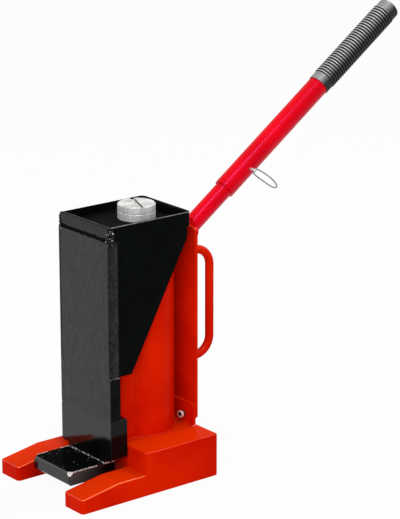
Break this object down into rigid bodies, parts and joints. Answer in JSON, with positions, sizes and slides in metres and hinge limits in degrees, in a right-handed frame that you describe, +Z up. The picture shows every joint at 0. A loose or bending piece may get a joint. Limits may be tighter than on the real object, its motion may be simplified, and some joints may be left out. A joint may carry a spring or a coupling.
{
  "type": "machine jack",
  "caption": "Hydraulic machine jack with a forked foot, an upright column, a sliding claw with a low lifting toe and a flat head, and a hand lever that works its pump.",
  "frame": {"origin": "on the floor under the ram's axis", "axes": "+Z up along the ram, the lifting toe points to -Y, the hand lever rises towards +Y, +X to the side of the release knob"},
  "size_m": [0.194, 0.6361, 0.609],
  "materials": {
    "red_paint": "gloss enamel",
    "lever_paint": "gloss enamel",
    "black_paint": "semi-gloss",
    "bright_steel": "turned and ground",
    "zinc_steel": "zinc plated",
    "bronze": "machined",
    "seal_rubber": "smooth",
    "grip_rubber": "moulded, ribbed",
    "knob_plastic": "moulded"
  },
  "bodies": {
    "foot": {"base_foot": "red_paint", "cylinder_tube": "bright_steel", "tank_tube": "red_paint", "cylinder_head": "red_paint", "filler_plug": "zinc_steel", "gland_bush": "bronze", "rod_seal": "seal_rubber", "rod_wiper": "seal_rubber", "guide_rail": "red_paint", "rear_flange": "red_paint", "back_plate": "red_paint", "flange_screws": "zinc_steel", "carry_handle": "red_paint", "pivot_cheeks": "red_paint", "pivot_pin": "bright_steel", "pivot_ring": "zinc_steel", "pump_block": "red_paint", "pump_screws": "zinc_steel", "pump_barrel": "bright_steel", "pump_seal": "seal_rubber", "pump_gland_nut": "zinc_steel", "barrel_saddle": "red_paint", "valve_plugs": "zinc_steel", "suction_ball": "bright_steel", "suction_spring": "bright_steel", "delivery_ball": "bright_steel", "delivery_spring": "bright_steel"},
    "claw": {"claw_front_plate": "black_paint", "claw_front_rim": "black_paint", "claw_side_right": "black_paint", "claw_side_left": "black_paint", "claw_top_plate": "black_paint", "claw_rear_rim": "black_paint", "claw_toe": "black_paint", "ram_rod": "bright_steel", "piston": "bright_steel", "piston_seal": "seal_rubber", "piston_guide": "bronze", "piston_nut": "bright_steel", "ram_head": "bright_steel"},
    "lever": {"lever_rocker": "lever_paint", "lever_stub": "lever_paint", "lever_tube": "lever_paint", "lever_grip": "grip_rubber"},
    "lock": {"lock_pin": "zinc_steel", "lock_loop": "zinc_steel"},
    "plunger": {"pump_plunger": "bright_steel", "plunger_pin": "bright_steel"},
    "release": {"release_spindle": "bright_steel", "release_knob": "knob_plastic"}
  },
  "joints": [
    {"name": "claw_lift", "type": "slide", "parent": "foot", "child": "claw", "axis": [0, 0, 1], "range_m": [-0.0129, 0.192]},
    {"name": "lever_swing", "type": "hinge", "parent": "foot", "child": "lever", "pos_m": [0, 0.075, 0.3185], "axis": [1, 0, 0], "range_deg": [-40, 10]},
    {"name": "plunger_stroke", "type": "slide", "parent": "foot", "child": "plunger", "axis": [0, 0, 1], "range_m": [-0.0128, 0.0035]},
    {"name": "lock_pull", "type": "slide", "parent": "lever", "child": "lock", "axis": [1, 0, 0], "range_m": [0, 0.034]},
    {"name": "release_turn", "type": "hinge", "parent": "foot", "child": "release", "pos_m": [0, 0.0775, 0.0185], "axis": [1, 0, 0], "range_deg": [0, 360]}
  ],
  "couplings": [
    {"joint": "plunger_stroke", "follows": "lever_swing", "m_per_rad": 0.0179}
  ]
}
